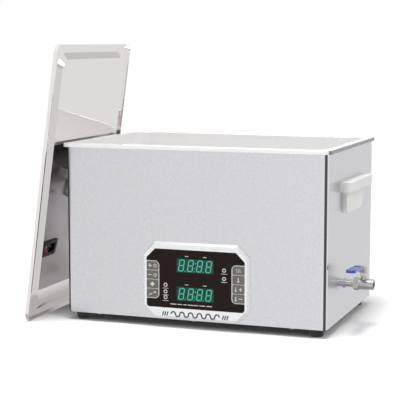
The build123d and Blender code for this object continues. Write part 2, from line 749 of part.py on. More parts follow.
def power_rocker():
    """Rocker with a shallow V face, tipped to its off position."""
    points = [(-4.2, 8.6), (-2.6, 0), (-4.2, -8.6), (0, -9.2), (6, -4), (6, 4), (0, 9.2)]
    plane = Plane(origin=(0, ROCKER_Y, 0), x_dir=(1, 0, 0), z_dir=(0, -1, 0))
    rocker = extrude(plane * make_face(Polyline(*points, close=True)), 5.9, both=True)
    rocker = Rot(0, ROCKER_TILT, 0) * rocker
    return Pos(-CASE_X + 0.5, 0, INLET_Z) * rocker


# ---------------------------------------------------------------- fan and generator


def fan_corners():
    half = FAN_PITCH / 2
    return [(FAN_X + sx * half, FAN_Z + sz * half) for sx in (-1, 1) for sz in (-1, 1)]


def fan_frame():
    half = FAN_SIZE / 2
    front = REAR_IN - FAN_DEPTH
    frame = block(FAN_X - half, FAN_X + half, front, REAR_IN, FAN_Z - half, FAN_Z + half)
    frame = fillet(frame.edges().filter_by(Axis.Y), 4)
    frame -= rod_y(front - 1, REAR_IN + 1, FAN_X, FAN_Z, FAN_BORE_R)
    for step in range(3):
        arm = block(-1.5, 1.5, front, front + 3, 0, FAN_BORE_R + 1)
        frame += Pos(FAN_X, 0, FAN_Z) * Rot(0, 120 * step, 0) * arm
    frame += rod_y(front, front + 3, FAN_X, FAN_Z, 15)
    for x, z in fan_corners():
        frame -= rod_y(front - 1, REAR_IN + 1, x, z, 1.9)
    return frame - rod_y(front - 1, front + 4, FAN_X, FAN_Z, 1.6)


def fan_rotor():
    """Hub, seven pitched blades and the shaft."""
    front = REAR_IN - FAN_DEPTH + 4
    back = REAR_IN - 3
    rotor = rod_y(front, back, FAN_X, FAN_Z, 15)
    for step in range(7):
        blade = Pos(0, (front + back) / 2, 25) * Rot(0, 0, 38) * Box(1.6, 19, 22)
        rotor += Pos(FAN_X, 0, FAN_Z) * Rot(0, 360 / 7 * step, 0) * blade
    rotor += rod_y(front - 3.5, front, FAN_X, FAN_Z, 1.5)
    limits = rod_y(front - 4, back, FAN_X, FAN_Z, FAN_BORE_R - 1)
    return rotor & limits


def fan_guard():
    """Finger guard: rings on a cross, outside the back."""
    y0 = REAR_IN + SHEET
    guard = None
    for r in (10, 17, 24, 31, 38):
        ring = rod_y(y0, y0 + 2, FAN_X, FAN_Z, r) - rod_y(y0 - 1, y0 + 3, FAN_X, FAN_Z, r - 2)
        guard = ring if guard is None else guard + ring
    reach = FAN_PITCH / 2 * math.sqrt(2)
    for angle in (45, -45):
        bar = block(-reach, reach, y0, y0 + 2, -1.5, 1.5)
        guard += Pos(FAN_X, 0, FAN_Z) * Rot(0, angle, 0) * bar
    for x, z in fan_corners():
        guard += rod_y(y0, y0 + 2, x, z, 4.5)
        guard -= rod_y(y0 - 1, y0 + 3, x, z, 1.8)
    return guard


def fan_screws():
    y0 = REAR_IN + SHEET + 2
    screws = []
    for x, z in fan_corners():
        screws.append(rod_y(y0, y0 + 2.2, x, z, 3.6) + rod_y(REAR_IN - 20, y0, x, z, 1.8))
    return screws


def generator_board():
    """Ultrasonic generator on four posts over the bottom cover, with three round capacitors."""
    board = block(GENERATOR_X0, GENERATOR_X1, -GENERATOR_HALF, GENERATOR_HALF,
                  GENERATOR_TOP - BOARD_T, GENERATOR_TOP)
    for x in (GENERATOR_X0 + 7, GENERATOR_X1 - 7):
        for y in (-GENERATOR_HALF + 7, GENERATOR_HALF - 7):
            board += rod_z(FOOT_H + SHEET, GENERATOR_TOP - BOARD_T, x, y, 3.5)
    for step in range(3):
        board += rod_z(GENERATOR_TOP, GENERATOR_TOP + 24, GENERATOR_X1 - 25, -25 + 30 * step, 9)
    return board


def heatsink():
    """Finned heat sink on the board."""
    fins = 9
    pitch = 9.6
    x0 = GENERATOR_X0 + 5
    y0, y1 = 10, 45
    sink = block(x0, x0 + 80, y0, y1, GENERATOR_TOP, GENERATOR_TOP + 4.4)
    for step in range(fins):
        x = x0 + 1 + step * pitch
        sink += block(x, x + 2, y0, y1, GENERATOR_TOP + 4.4, GENERATOR_TOP + 34)
    return sink


def output_transformer():
    """Ferrite core with its winding, beside the heat sink."""
    x = GENERATOR_X0 + 40
    core = block(x - 25, x + 25, -45, -3, GENERATOR_TOP, GENERATOR_TOP + 34)
    coil = block(x - 19, x + 19, -50, 2, GENERATOR_TOP + 5, GENERATOR_TOP + 29)
    return core + fillet(coil.edges().filter_by(Axis.X), 6)


# ---------------------------------------------------------------- lid


def lid_frame():
    """Where the lid lies: its own Z is its outer face, and its own Y runs up the lean."""
    lean = math.radians(LID_LEAN)
    along = Vector(0, 1, 0)
    up = Vector(math.sin(lean), 0, math.cos(lean))
    corner = Vector(LID_CORNER_X, LID_CORNER_Y, 0)
    lift = Vector(0, 0, 1) * (LID_LIP * math.sin(lean))
    centre = corner + up * (LID_L / 2) + along * (LID_B / 2) + lift
    outward = up.cross(along)
    return Location(Plane(origin=centre, x_dir=along * -1, z_dir=outward))


def lid_pan():
    """Pressed lid: flange with a turned lip, and a centre pressed towards the tank side."""
    pan = rounded_block(LID_B, LID_L, LID_R, -LID_LIP, LID_T)
    pan = fillet(pan.edges().group_by(Axis.Z)[-1], 0.8)
    pan -= rounded_block(LID_B - 2 * LID_T, LID_L - 2 * LID_T, LID_R - LID_T, -LID_LIP - 1, 0)
    pan += lid_dish(0, 0, -LID_DISH)
    pan -= lid_dish(0.3, LID_T + 0.01, -LID_DISH + LID_T)
    for side in (-1, 1):
        pan -= rod_z(-LID_DISH - 1, 1, 0, side * LID_GRIP_HALF, 2.6)
    return pan


def lid_dish(grow, z_top, z_low):
    """The pressed centre as a tapered block with rounded corners."""
    w = LID_B - 2 * LID_MARGIN + 2 * grow
    length = LID_L - 2 * LID_MARGIN + 2 * grow
    wide = Pos(0, 0, z_top) * RectangleRounded(w, length, DISH_R + grow)
    narrow = RectangleRounded(w - 2 * LID_SLOPE, length - 2 * LID_SLOPE, DISH_R - LID_SLOPE + grow)
    return loft([wide, Pos(0, 0, z_low) * narrow])


def lid_handle():
    """Bow handle of round bar on the lid's outer face."""
    foot = -LID_DISH + LID_T
    path = FilletPolyline((0, -LID_GRIP_HALF, foot), (0, -LID_GRIP_HALF, LID_GRIP_OUT - 4),
                          (0, LID_GRIP_HALF, LID_GRIP_OUT - 4), (0, LID_GRIP_HALF, foot), radius=14)
    bow = sweep(Pos(0, -LID_GRIP_HALF, foot) * Circle(4.5), path)
    for side in (-1, 1):
        bow += rod_z(foot, foot + 3, 0, side * LID_GRIP_HALF, 9)
        bow -= rod_z(foot - 1, foot + 10, 0, side * LID_GRIP_HALF, 2.5)
    return bow


def lid_screws():
    screws = []
    for side in (-1, 1):
        y = side * LID_GRIP_HALF
        screws.append(pan_head(0, y, -LID_DISH, 5, 3) + rod_z(-LID_DISH, 2.5, 0, y, 2.5))
    return screws


# ---------------------------------------------------------------- build

os.makedirs("parts", exist_ok=True)

save("casing_wrap", casing_wrap())
save("rear_panel", rear_panel())
save("bottom_cover", bottom_cover())
save("bottom_screws", *bottom_screws())
save("feet", *feet())
save("tank", tank())
save("rim_seal", rim_seal())
save("heater_pads", *heater_pads())
save("transducer_horns", *transducer_horns())
save("piezo_rings", *piezo_rings())
save("transducer_back_masses", *transducer_back_masses())
save("transducer_bolts", *transducer_bolts())
save("control_bezel", control_bezel())
save("bezel_nuts", *bezel_nuts())
save("display_window", display_window())
save("keypad_left", keypad(-1))
save("keypad_right", keypad(1))
for number, (key_side, key_x, key_z) in enumerate(key_spots(), start=1):
    save(f"key_{number}", key(key_side, key_x, key_z))
save("display_upper", display(DISPLAY_UPPER_Z))
save("display_lower", display(DISPLAY_LOWER_Z))
save("indicator_leds", *indicator_leds())
save("control_board", control_board())
save("board_standoffs", *board_standoffs())
save("key_switches", *key_switches())
save("handle_left", handle(-1))
save("handle_right", handle(1))
save("handle_screws", *handle_screws())
save("drain_strainer", drain_strainer())
save("drain_pipe", drain_pipe())
save("drain_nipple", drain_nipple())
save("drain_nuts", *drain_nuts())
save("valve_body", valve_body())
save("valve_end_cap", valve_end_cap())
save("valve_seats", *valve_seats())
save("valve_ball", valve_ball())
save("valve_stem", valve_stem())
save("packing_nut", packing_nut())
save("lever_nut", lever_nut())
save("valve_lever", valve_lever())
save("lever_grip", lever_grip())
save("iec_inlet", iec_inlet())
save("inlet_pins", *inlet_pins())
save("power_rocker", power_rocker())
save("fan_frame", fan_frame())
save("fan_rotor", fan_rotor())
save("fan_guard", fan_guard())
save("fan_screws", *fan_screws())
save("generator_board", generator_board())
save("heatsink", heatsink())
save("output_transformer", output_transformer())

LID = lid_frame()
save("lid_pan", LID * lid_pan())
save("lid_handle", LID * lid_handle())
save("lid_screws", *[LID * screw for screw in lid_screws()])
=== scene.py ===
import math
import bmesh
import bpy
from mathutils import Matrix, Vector


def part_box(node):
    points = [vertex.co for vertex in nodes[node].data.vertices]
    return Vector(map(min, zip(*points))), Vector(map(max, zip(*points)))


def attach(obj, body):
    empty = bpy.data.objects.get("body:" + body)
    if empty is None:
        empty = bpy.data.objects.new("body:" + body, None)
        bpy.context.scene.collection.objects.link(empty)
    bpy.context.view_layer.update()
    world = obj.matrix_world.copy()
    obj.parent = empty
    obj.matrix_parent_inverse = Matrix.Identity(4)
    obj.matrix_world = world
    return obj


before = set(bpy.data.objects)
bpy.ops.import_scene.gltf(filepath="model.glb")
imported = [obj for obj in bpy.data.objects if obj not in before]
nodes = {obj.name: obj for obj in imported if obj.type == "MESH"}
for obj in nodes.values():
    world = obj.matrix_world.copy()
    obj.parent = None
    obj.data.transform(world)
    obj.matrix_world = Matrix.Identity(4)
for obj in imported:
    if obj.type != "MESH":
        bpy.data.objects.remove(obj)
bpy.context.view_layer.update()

# Metres, in the frame of the CAD model: X right, Y back, Z up, origin on the floor.
CAMERA_AIM = Vector((-0.050, 0.0, 0.224))
CAMERA_DISTANCE = 2.624
CAMERA_YAW = math.radians(19.97)
CAMERA_PITCH = math.radians(7.0)
CAMERA_LENS = 116.8
SENSOR_WIDTH = 36.0

# The studio's brightness as reflections see it, by degrees from straight ahead of the front,
# to the right. It was set for the camera's own view.
STUDIO = (
    (-180, 0.76), (-150, 0.84), (-124, 0.90), (-106, 0.62), (-84, 0.62), (-62, 1.00),
    (-44, 1.05), (-35, 0.80), (-26, 0.84), (-14, 0.965), (14, 0.98), (36, 0.64),
    (70, 0.62), (94, 0.64), (110, 1.02), (138, 1.02), (148, 0.75), (180, 0.75))
STUDIO_STRENGTH = 1.1
MATT_SHARE = 0.42
# Heights in the studio are sines of the elevation: each pair is where a change starts and ends.
TOP_GREY = 0.92
TOP_RISE = (0.60, 0.80)
BELOW_GREY = 0.42
BELOW_FALL = (-0.42, -0.60)
# On the right-hand side the studio is dimmed above the horizon.
SKYLINE_GREY = 0.74
SKYLINE_RISE = (0.03, 0.12)
SKYLINE_RIGHT = (0.05, 0.20)
# The sky that lights matt surfaces.
SKY_STRENGTH = 0.80
SKY_RISE = (0.20, 0.62)

FLOOR_RADIUS = 1.6
FLOOR_DROP = 0.0002
FLOOR_WHITE = (0.93, 0.93, 0.93)
# Reflections see this in place of the floor between the lid and the casing. Along each axis
# the floor is shaded at the first place and open at the second.
SHADED_FLOOR = (0.50, 0.48, 0.475)
CLEAR_OF_LID = (
    ("X", -0.275, -0.235), ("X", -0.36, -0.44), ("Y", -0.24, -0.28), ("Y", 0.28, 0.38))

# Name, place, aim, width and power of each square light.
LIGHTS = (
    ("key", (-0.28, -0.7, 5.0), (0, 0, 0.1), 1.6, 120),
    ("side", (2.2, 0.1, 1.6), (0.2, 0, 0.2), 1.0, 10),
    ("front", (-0.9, -3.4, 2.6), (0, 0, 0.1), 1.5, 20),
    ("tank", (0.3, -0.5, 1.5), (0, 0.16, 0.3), 0.3, 5))


# ---------------------------------------------------------------- materials

# Most of a noise texture's values lie between these.
NOISE_RANGE = (0.3, 0.7)
# Where the masks of the vertical bends and of the rim's right-hand lip start and end.
# The dark colours that they lay on are painted reflections.
BEND_SMOOTH = (0.02, 0.10)
BEND_PAINTED_REFLECTION_MASK = (0.26, 0.32)
BEND_ROUGH = 0.08
BEND_PAINTED_REFLECTION_COLOUR = (0.10, 0.10, 0.105)
LIP_X = (0.262, 0.264)
LIP_NORMAL = (0.5, 0.7)
LIP_PAINTED_REFLECTION_COLOUR = (0.22, 0.21, 0.23)
# The bezel's slopes that look up are painted greyer: painted shade.
BEZEL_SLOPE = (0.25, 0.60)
BEZEL_SLOPE_PAINTED_SHADE = (0.58, 0.58, 0.58)


def new_material(name, base, rough, metal=0.0):
    """A Principled material with its fixed values on the shader's own sockets."""
    mat = bpy.data.materials.new(name)
    mat.use_nodes = True
    shader = mat.node_tree.nodes["Principled BSDF"]
    shader.inputs["Base Color"].default_value = (*base, 1.0)
    shader.inputs["Roughness"].default_value = rough
    shader.inputs["Metallic"].default_value = metal
    return mat, shader


def add(mat, kind, **values):
    """Adds a node, setting its input sockets and its properties by name."""
    node = mat.node_tree.nodes.new(kind)
    for key, value in values.items():
        if hasattr(node, key):
            setattr(node, key, value)
        else:
            node.inputs[key].default_value = value
    return node


def link(mat, a, a_socket, b, b_socket):
    mat.node_tree.links.new(a.outputs[a_socket], b.inputs[b_socket])


def spread(tree, source, low, high, to_low=0.0, to_high=1.0):
    """Spreads a value from one range over another, and holds it inside the second."""
    node = tree.nodes.new("ShaderNodeMapRange")
    limits = (("From Min", low), ("From Max", high), ("To Min", to_low), ("To Max", to_high))
    for key, value in limits:
        node.inputs[key].default_value = value
    tree.links.new(source, node.inputs["Value"])
    return node.outputs["Result"]


def combine(tree, operation, first, second=None):
    node = tree.nodes.new("ShaderNodeMath")
    node.operation = operation
    tree.links.new(first, node.inputs[0])
    if second is not None:
        tree.links.new(second, node.inputs[1])
    return node.outputs[0]


def axes(tree, output):
    """X, Y and Z of one kind of texture coordinates, such as Object or Normal."""
    coords = tree.nodes.new("ShaderNodeTexCoord")
    split = tree.nodes.new("ShaderNodeSeparateXYZ")
    tree.links.new(coords.outputs[output], split.inputs[0])
    return split.outputs


def tint(tree, share, first, second, kind="MIX"):
    """Mixes a colour, fixed or from a socket, with a fixed one by the share."""
    node = tree.nodes.new("ShaderNodeMixRGB")
    node.blend_type = kind
    node.inputs["Color2"].default_value = (*second, 1)
    tree.links.new(share, node.inputs["Fac"])
    if isinstance(first, tuple):
        node.inputs["Color1"].default_value = first
    else:
        tree.links.new(first, node.inputs["Color1"])
    return node.outputs["Color"]


def mix_shaders(tree, share, first, second):
    node = tree.nodes.new("ShaderNodeMixShader")
    for source, socket in ((share, 0), (first.outputs[0], 1), (second.outputs[0], 2)):
        tree.links.new(source, node.inputs[socket])
    return node


def object_coords(mat, scale):
    """Object coordinates, stretched by a scale for each axis."""
    coords = add(mat, "ShaderNodeTexCoord")
    mapping = add(mat, "ShaderNodeMapping")
    mapping.inputs["Scale"].default_value = scale
    link(mat, coords, "Object", mapping, "Vector")
    return mapping


def noise(mat, scale, detail=3.0, stretch=(1, 1, 1)):
    mapping = object_coords(mat, stretch)
    texture = add(mat, "ShaderNodeTexNoise", Scale=scale, Detail=detail)
    link(mat, mapping, "Vector", texture, "Vector")
    return texture


def vary_roughness(mat, shader, texture, low, high):
    rough = spread(mat.node_tree, texture.outputs["Fac"], *NOISE_RANGE, low, high)
    mat.node_tree.links.new(rough, shader.inputs["Roughness"])


def vary_colour(mat, shader, texture, dark, light):
    ramp = add(mat, "ShaderNodeValToRGB")
    for element, place, colour in zip(ramp.color_ramp.elements, NOISE_RANGE, (dark, light)):
        element.position = place
        element.color = (*colour, 1)
    link(mat, texture, "Fac", ramp, "Fac")
    link(mat, ramp, "Color", shader, "Base Color")
    return ramp


def bump(mat, shader, texture, strength, distance):
    node = add(mat, "ShaderNodeBump", Strength=strength, Distance=distance)
    link(mat, texture, "Fac", node, "Height")
    link(mat, node, "Normal", shader, "Normal")


def grained_steel(name, base, low, high, grain=900, stretch=(1, 1, 1), depth=0.00002,
                  mottle=0.035):
    """Stainless sheet with a fine grain in its surface and a coarser mottle in its colour."""
    mat, shader = new_material(name, base, (low + high) / 2, 1.0)
    fine = noise(mat, grain, 4.0, stretch)
    vary_roughness(mat, shader, fine, low, high)
    coarse = noise(mat, 380, 6.0, stretch)
    coarse.inputs["Roughness"].default_value = 0.8
    dark = [c * (1 - mottle) for c in base]
    light = [min(c * (1 + mottle), 1) for c in base]
    vary_colour(mat, shader, coarse, dark, light)
    bump(mat, shader, fine, 0.35, depth)
    return mat


def smooth_bends_and_paint_reflection(mat):
    """Makes the sheet smoother along its vertical bends, and paints a dark line there: a painted
    reflection, whatever light falls there.

    Its mask is the size of nx * ny * ny in the object's own axes. That is zero on the flats,
    and largest where a bend looks a little more to the front or back than to the side.
    """
    tree = mat.node_tree
    shader = tree.nodes["Principled BSDF"]
    normal = axes(tree, "Normal")
    turned = combine(tree, "MULTIPLY", normal["X"], normal["Y"])
    turned = combine(tree, "MULTIPLY", turned, normal["Y"])
    size = combine(tree, "ABSOLUTE", turned)
    smooth = add(mat, "ShaderNodeMix", data_type="FLOAT")
    smooth.inputs[3].default_value = BEND_ROUGH
    tree.links.new(spread(tree, size, *BEND_SMOOTH), smooth.inputs[0])
    tree.links.new(shader.inputs["Roughness"].links[0].from_socket, smooth.inputs[2])
    tree.links.new(smooth.outputs[0], shader.inputs["Roughness"])
    plain = shader.inputs["Base Color"].links[0].from_socket
    # The dark line is a painted reflection in the base colour.
    dark = tint(tree, spread(tree, size, *BEND_PAINTED_REFLECTION_MASK), plain, BEND_PAINTED_REFLECTION_COLOUR)
    tree.links.new(dark, shader.inputs["Base Color"])


def mirror_steel(name, base, rough, wave, metal=1.0):
    """Polished sheet: faint polishing haze, and a slow waviness that bends reflections."""
    mat, shader = new_material(name, base, rough, metal)
    haze = noise(mat, 22, 2.0)
    vary_roughness(mat, shader, haze, rough * 0.9, rough * 1.15)
    slow = noise(mat, 7, 1.0)
    bump(mat, shader, slow, 1.0, wave)
    return mat


def paint_lip_reflection(mat):
    """Paints a dark reflection on the lip at the right-hand end of the rim, by place. The left
    end has none.
    """
    tree = mat.node_tree
    shader = tree.nodes["Principled BSDF"]
    place = spread(tree, axes(tree, "Object")["X"], *LIP_X)
    outward = spread(tree, axes(tree, "Normal")["X"], *LIP_NORMAL)
    share = combine(tree, "MULTIPLY", place, outward)
    lip_reflection = tint(tree, share, tuple(shader.inputs["Base Color"].default_value), LIP_PAINTED_REFLECTION_COLOUR)
    tree.links.new(lip_reflection, shader.inputs["Base Color"])


def plastic(name, base, low, high, grain=1200, depth=0.00003, coat=0.0, shine=0.5):
    """Moulded plastic: a fine texture and slight colour variation."""
    mat, shader = new_material(name, base, (low + high) / 2)
    shader.inputs["Specular IOR Level"].default_value = shine
    texture = noise(mat, grain, 3.0)
    vary_roughness(mat, shader, texture, low, high)
    light = [min(c * 1.04, 1) for c in base]
    vary_colour(mat, shader, texture, [c * 0.94 for c in base], light)
    bump(mat, shader, texture, 0.4, depth)
    shader.inputs["Coat Weight"].default_value = coat
    return mat


def turned_metal(name, base, low, high, axis=(0.05, 1, 1)):
    """Machined metal with fine tool marks, drawn out along the short axis of the scale."""
    mat, shader = new_material(name, base, (low + high) / 2, 1.0)
    marks = noise(mat, 1600, 2.0, axis)
    vary_roughness(mat, shader, marks, low, high)
    vary_colour(mat, shader, marks, [c * 0.86 for c in base], base)
    bump(mat, shader, marks, 0.5, 0.00002)
    return mat


def bevelled_white():
    """The bezel's white, with painted shade: greyer on the slopes that look up."""
    mat, shader = new_material("bezel_white", (0.86, 0.86, 0.88), 0.32, 0.35)
    tree = mat.node_tree
    texture = noise(mat, 900, 3.0)
    vary_roughness(mat, shader, texture, 0.27, 0.37)
    ramp = vary_colour(mat, shader, texture, (0.84, 0.84, 0.86), (0.88, 0.88, 0.90))
    slope = spread(tree, axes(tree, "Normal")["Z"], *BEZEL_SLOPE)
    painted_shade = tint(tree, slope, ramp.outputs["Color"], BEZEL_SLOPE_PAINTED_SHADE)
    tree.links.new(painted_shade, shader.inputs["Base Color"])
    bump(mat, shader, texture, 0.4, 0.00001)
    return mat


def glowing(name, base, colour, strength, rough):
    """Dark plastic with a faint light of its own."""
    mat, shader = new_material(name, base, rough)
    shader.inputs["Specular IOR Level"].default_value = 0.12
    texture = noise(mat, 500, 2.0)
    vary_colour(mat, shader, texture, [c * 0.85 for c in base], base)
    shader.inputs["Emission Color"].default_value = (*colour, 1)
    shader.inputs["Emission Strength"].default_value = strength
    return mat


CASE_STEEL = grained_steel("case_steel", (0.660, 0.655, 0.685), 0.20, 0.27, mottle=0.09)
# Painted reflection: a dark line along the casing's vertical bends.
smooth_bends_and_paint_reflection(CASE_STEEL)
# The bottom cover is steel made dark grey: painted shade in the gap under the casing.
BASE_STEEL_PAINTED_SHADE = grained_steel("base_steel_painted_shade", (0.24, 0.24, 0.25), 0.45, 0.60)
TANK_STEEL = mirror_steel("tank_steel", (0.93, 0.92, 0.92), 0.15, 0.00006, 0.50)
# Painted reflection: a dark lip at the right-hand end of the tank's rim.
paint_lip_reflection(TANK_STEEL)
LID_STEEL = mirror_steel("lid_steel", (0.87, 0.843, 0.833), 0.05, 0.0003)
VALVE_STEEL = turned_metal("valve_steel", (0.62, 0.61, 0.60), 0.22, 0.36)
CAST_STEEL = grained_steel("cast_steel", (0.52, 0.51, 0.50), 0.26, 0.42, 500, depth=0.0001)
SCREW_STEEL = turned_metal("screw_steel", (0.55, 0.55, 0.56), 0.25, 0.40)
BALL_CHROME = mirror_steel("ball_chrome", (0.80, 0.80, 0.81), 0.06, 0.00002)
BRASS = turned_metal("nut_brass", (0.72, 0.52, 0.22), 0.25, 0.40)
ALUMINIUM = turned_metal("horn_aluminium", (0.74, 0.75, 0.76), 0.30, 0.45, (1, 1, 0.05))
BACK_MASS = turned_metal("mass_steel", (0.24, 0.24, 0.25), 0.35, 0.50, (1, 1, 0.05))
HEATSINK = grained_steel("heatsink_aluminium", (0.60, 0.61, 0.62), 0.35, 0.5, 700, (0.05, 1, 1))
BEZEL = bevelled_white()
WINDOW = plastic(
    "window_black", (0.013, 0.0065, 0.0055), 0.16, 0.26, 700, 0.000004, shine=0.12)
STRIP = plastic("keypad_border", (0.60, 0.59, 0.56), 0.35, 0.45, 900, 0.00001)
KEY = plastic("keypad_grey", (0.150, 0.138, 0.125), 0.38, 0.50, 1100, 0.00002, shine=0.3)
DISPLAY = glowing("display_green", (0.006, 0.040, 0.032), (0.006, 0.075, 0.055), 0.45, 0.30)
SEGMENT = glowing("display_segment", (0.06, 0.22, 0.16), (0.12, 0.48, 0.33), 0.62, 0.4)
LAMP = glowing("lamp_clear", (0.03, 0.05, 0.04), (0.02, 0.06, 0.04), 0.3, 0.15)
PRINT = plastic("print_white", (0.72, 0.71, 0.68), 0.4, 0.5)
INK = plastic("print_dark", (0.045, 0.045, 0.05), 0.4, 0.5)
HANDLE = plastic("handle_grey", (0.81, 0.81, 0.80), 0.38, 0.48, 1000, 0.00006)
RUBBER = plastic("rubber_black", (0.018, 0.018, 0.018), 0.55, 0.75, 500, 0.0001)
GASKET = plastic("gasket_silicone", (0.55, 0.55, 0.54), 0.5, 0.6)
SEAL = plastic("seal_ptfe", (0.85, 0.85, 0.83), 0.35, 0.45)
GRIP = plastic("grip_blue", (0.020, 0.055, 0.33), 0.16, 0.26, 260, 0.00008, 0.3)
CERAMIC = plastic("piezo_ceramic", (0.30, 0.26, 0.21), 0.5, 0.7)
HEATER = plastic("heater_orange", (0.62, 0.16, 0.035), 0.5, 0.65, 400, 0.0001)
BOARD = plastic("board_green", (0.02, 0.16, 0.06), 0.30, 0.42)
BLACK = plastic("switch_black", (0.022, 0.022, 0.024), 0.35, 0.5)
ROCKER = plastic("rocker_red", (0.50, 0.012, 0.012), 0.2, 0.3, coat=0.3)
FAN = plastic("fan_black", (0.02, 0.02, 0.021), 0.40, 0.55)
COIL = plastic("coil_dark", (0.10, 0.055, 0.025), 0.35, 0.5)

LOOKS = {
    CASE_STEEL: ("casing_wrap", "rear_panel"),
    BASE_STEEL_PAINTED_SHADE: ("bottom_cover",),
    TANK_STEEL: ("tank", "drain_strainer"),
    LID_STEEL: ("lid_pan",),
    VALVE_STEEL: ("drain_pipe", "drain_nipple", "valve_end_cap", "valve_stem", "packing_nut",
                  "valve_lever", "lid_handle"),
    CAST_STEEL: ("valve_body",),
    SCREW_STEEL: ("bottom_screws", "transducer_bolts", "handle_screws", "lever_nut", "fan_guard",
                  "fan_screws", "lid_screws"),
    BALL_CHROME: ("valve_ball",),
    BRASS: ("bezel_nuts", "board_standoffs", "drain_nuts", "inlet_pins"),
    ALUMINIUM: ("transducer_horns",),
    BACK_MASS: ("transducer_back_masses",),
    HEATSINK: ("heatsink",),
    BEZEL: ("control_bezel",),
    WINDOW: ("display_window",),
    STRIP: ("keypad_left", "keypad_right"),
    KEY: tuple(f"key_{number}" for number in range(1, 9)),
    DISPLAY: ("display_upper", "display_lower"),
    LAMP: ("indicator_leds",),
    HANDLE: ("handle_left", "handle_right"),
    RUBBER: ("feet",),
    GASKET: ("rim_seal",),
    SEAL: ("valve_seats",),
    GRIP: ("lever_grip",),
    CERAMIC: ("piezo_rings",),
    HEATER: ("heater_pads",),
    BOARD: ("control_board", "generator_board"),
    BLACK: ("iec_inlet", "key_switches"),
    ROCKER: ("power_rocker",),
    FAN: ("fan_frame", "fan_rotor"),
    COIL: ("output_transformer",),
}
for look, names in LOOKS.items():
    for name in names:
        nodes[name].data.materials.clear()
        nodes[name].data.materials.append(look)


# ---------------------------------------------------------------- printed marks

PRINT_DEPTH = 0.00012
BOLD = 0.0016
FINE = 0.0008
DIGIT_W = 0.0094
DIGIT_H = 0.0208
DIGIT_STROKE = 0.0020
DIGIT_PITCH = 0.0182
DIGIT_SLANT = 0.16
POINT_R = 0.0010
POINT_DX = 0.0072
COLON_R = 0.0011
COLON_DZ = (-0.0045, 0.0050)


def centre(node):
    low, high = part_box(node)
    return (Vector(low) + Vector(high)) / 2


def front_of(node):
    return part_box(node)[0][1]


def mesh_piece(name, build, material, body):
    """Makes a mesh object with a build function that fills a bmesh."""
    mesh = bpy.data.meshes.new(name)
    bm = bmesh.new()
    build(bm)
    bmesh.ops.recalc_face_normals(bm, faces=bm.faces)
    bm.to_mesh(mesh)
    bm.free()
    piece = bpy.data.objects.new(name, mesh)
    bpy.context.collection.objects.link(piece)
    mesh.materials.append(material)
    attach(piece, body)


def plate(bm, points, y, thick):
    """A thin printed shape: an outline on XZ, standing out from the face at y."""
    front = [bm.verts.new((x, y - thick, z)) for x, z in points]
    back = [bm.verts.new((x, y, z)) for x, z in points]
    bm.faces.new(front)
    bm.faces.new(list(reversed(back)))
    for i in range(len(points)):
        j = (i + 1) % len(points)
        bm.faces.new((front[i], back[i], back[j], front[j]))


def bar(bm, x0, z0, x1, z1, width, y):
    """A straight stroke between two points."""
    along = Vector((x1 - x0, z1 - z0)).normalized()
    side = Vector((-along.y, along.x)) * width / 2
    a = Vector((x0, z0))
    b = Vector((x1, z1))
    plate(bm, [tuple(p) for p in (a - side, b - side, b + side, a + side)], y, PRINT_DEPTH)


def disc(bm, x, z, r, y):
    count = 24
    turn = 2 * math.pi / count
    points = [(x + r * math.cos(i * turn), z + r * math.sin(i * turn)) for i in range(count)]
    plate(bm, points, y, PRINT_DEPTH)


def ring(bm, x, z, r, width, y, thick=PRINT_DEPTH, start=0.0, sweep=2 * math.pi,
         count=28):
    """A ring, or an arc of one, as short strokes that overlap a little."""
    step = sweep / count
    for i in range(count):
        a = start + i * step
        b = a + step * 1.02
        inner, outer = r - width / 2, r + width / 2
        points = [(x + outer * math.cos(a), z + outer * math.sin(a)),
                  (x + outer * math.cos(b), z + outer * math.sin(b)),
                  (x + inner * math.cos(b), z + inner * math.sin(b)),
                  (x + inner * math.cos(a), z + inner * math.sin(a))]
        plate(bm, points, y, thick)


def seven_segments(bm, x, z, y):
    """One slanted figure 8 of seven tapered strokes."""
    half_w, half_h, gap = DIGIT_W / 2, DIGIT_H / 2, DIGIT_STROKE * 0.12

    def lean(px, pz):
        return (x + px + DIGIT_SLANT * pz, z + pz)

    def stroke(ax, az, bx, bz):
        ax, az = lean(ax, az)
        bx, bz = lean(bx, bz)
        along = Vector((bx - ax, bz - az)).normalized()
        side = Vector((-along.y, along.x)) * DIGIT_STROKE / 2
        a, b = Vector((ax, az)), Vector((bx, bz))
        tip = along * DIGIT_STROKE / 2
        points = [a, a + tip - side, b - tip - side, b, b - tip + side, a + tip + side]
        plate(bm, [tuple(p) for p in points], y, PRINT_DEPTH)

    for level in (-half_h, 0, half_h):
        stroke(-half_w + gap, level, half_w - gap, level)
    for sx in (-half_w, half_w):
        stroke(sx, -half_h + gap, sx, -gap)
        stroke(sx, gap, sx, half_h - gap)


def display_digits(bm, node):
    middle = centre(node)
    y = front_of(node)
    for place in (-1.5, -0.5, 0.5, 1.5):
        x = middle.x + place * DIGIT_PITCH
        seven_segments(bm, x, middle.z, y)
        if place < 1:
            disc(bm, x + POINT_DX, middle.z - DIGIT_H / 2, POINT_R, y)
    for dz in COLON_DZ:
        disc(bm, middle.x + DIGIT_SLANT * dz, middle.z + dz, COLON_R, y)


for node in ("display_upper", "display_lower"):
    mesh_piece(f"{node}_digits", lambda bm, n=node: display_digits(bm, n), SEGMENT, "casing")


def icon_plus(bm, x, z, y):
    bar(bm, x - 0.0032, z, x + 0.0032, z, BOLD, y)
    bar(bm, x, z - 0.0032, x, z + 0.0032, BOLD, y)


def icon_minus(bm, x, z, y):
    bar(bm, x - 0.0034, z, x + 0.0034, z, BOLD, y)


def icon_clock(bm, x, z, y):
    ring(bm, x, z, 0.0030, 0.0009, y)
    bar(bm, x, z, x, z + 0.0021, FINE, y)
    bar(bm, x, z, x + 0.0016, z, FINE, y)


